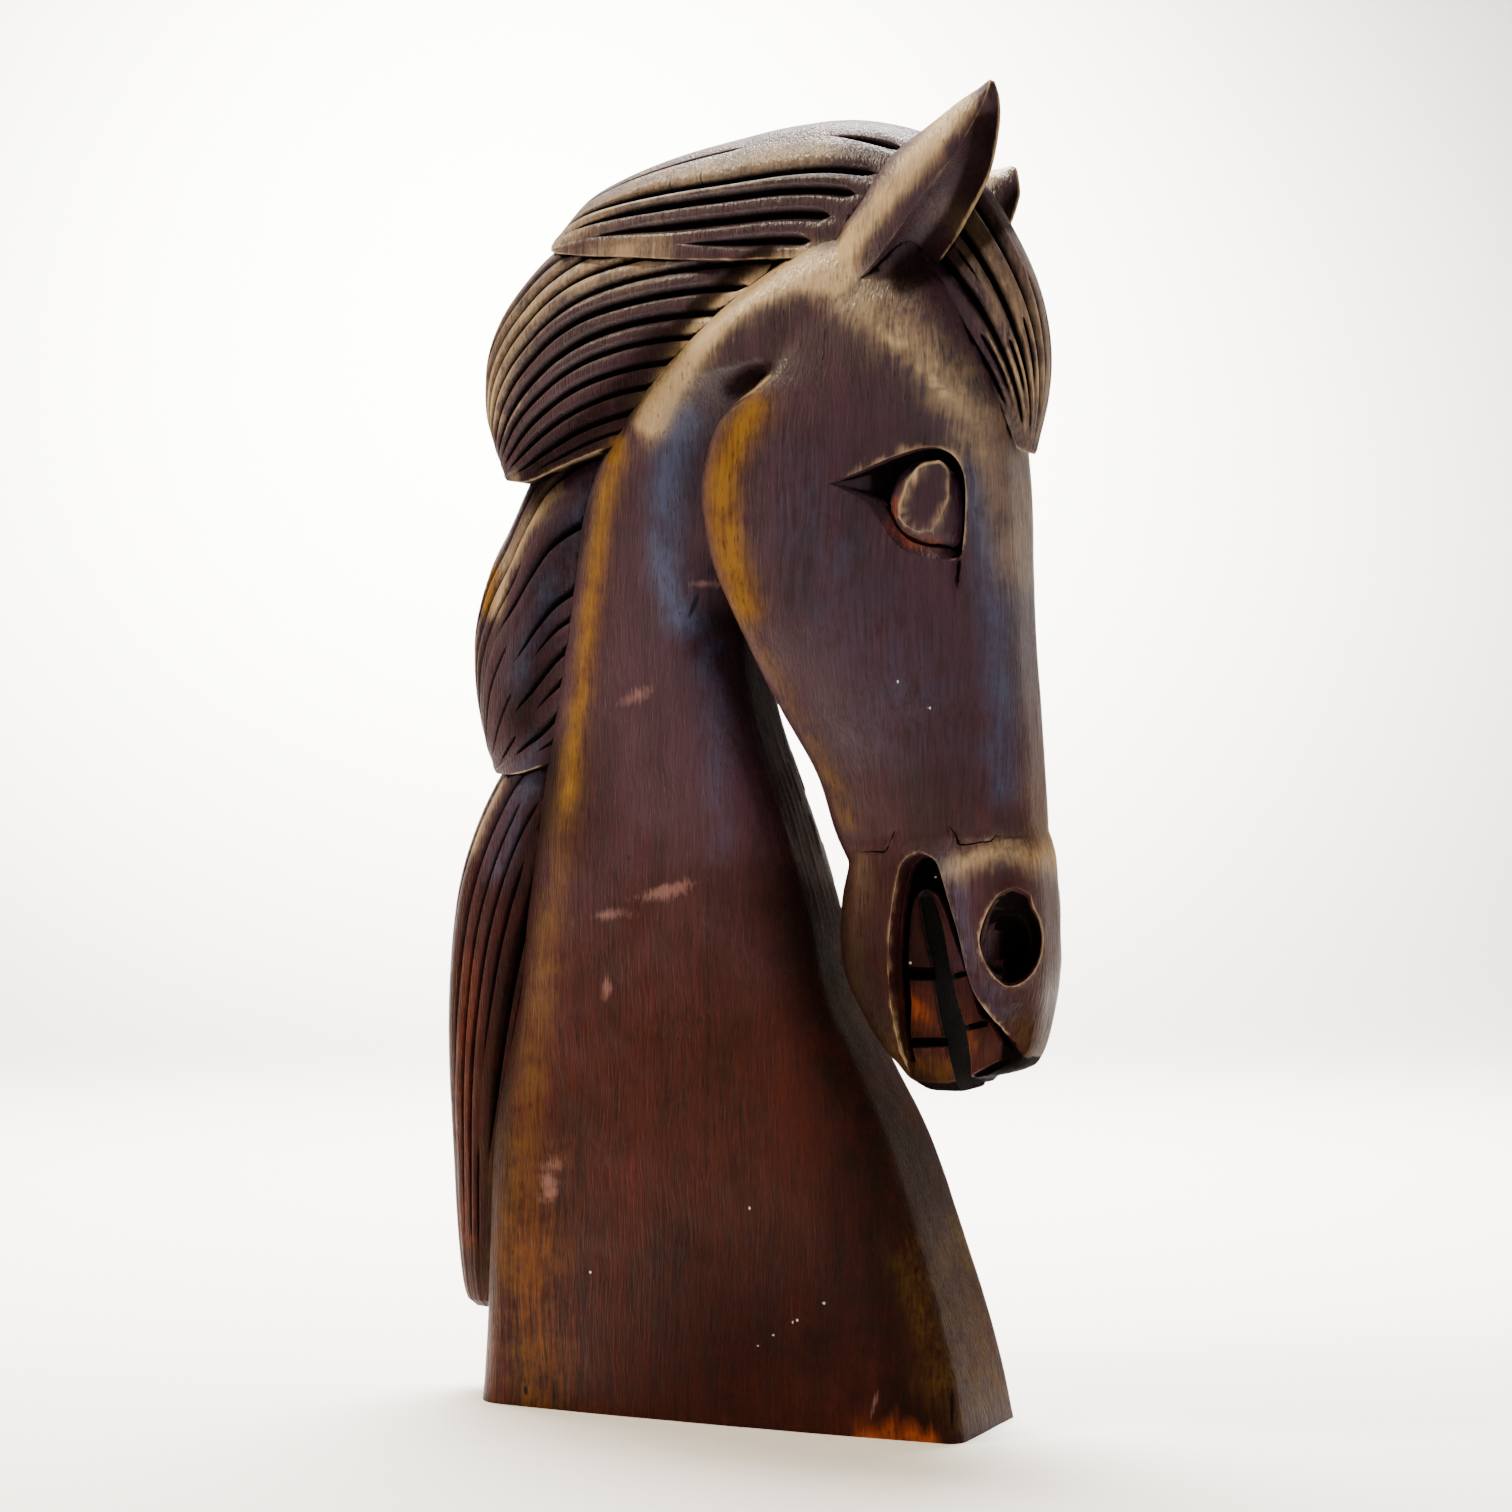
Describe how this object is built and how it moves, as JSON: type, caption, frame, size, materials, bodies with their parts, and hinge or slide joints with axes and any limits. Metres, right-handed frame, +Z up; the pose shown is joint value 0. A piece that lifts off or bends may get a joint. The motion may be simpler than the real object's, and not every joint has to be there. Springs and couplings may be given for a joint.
{
  "type": "wooden horse head sculpture",
  "caption": "Carved hardwood horse head on a flaring neck that stands on its own flat foot, with a locked mane, forelock, pricked ears and open mouth.",
  "frame": {"origin": "centre of the flat underside of the neck's foot", "axes": "+Z up, +X the way the horse looks, +Y to the horse's left"},
  "size_m": [0.2882, 0.088, 0.5635],
  "materials": {
    "hardwood": "dark stained and waxed hardwood, hand carved, rubbed lighter on its ridges"
  },
  "bodies": {
    "root": {"horse_head": "hardwood"}
  },
  "joints": []
}
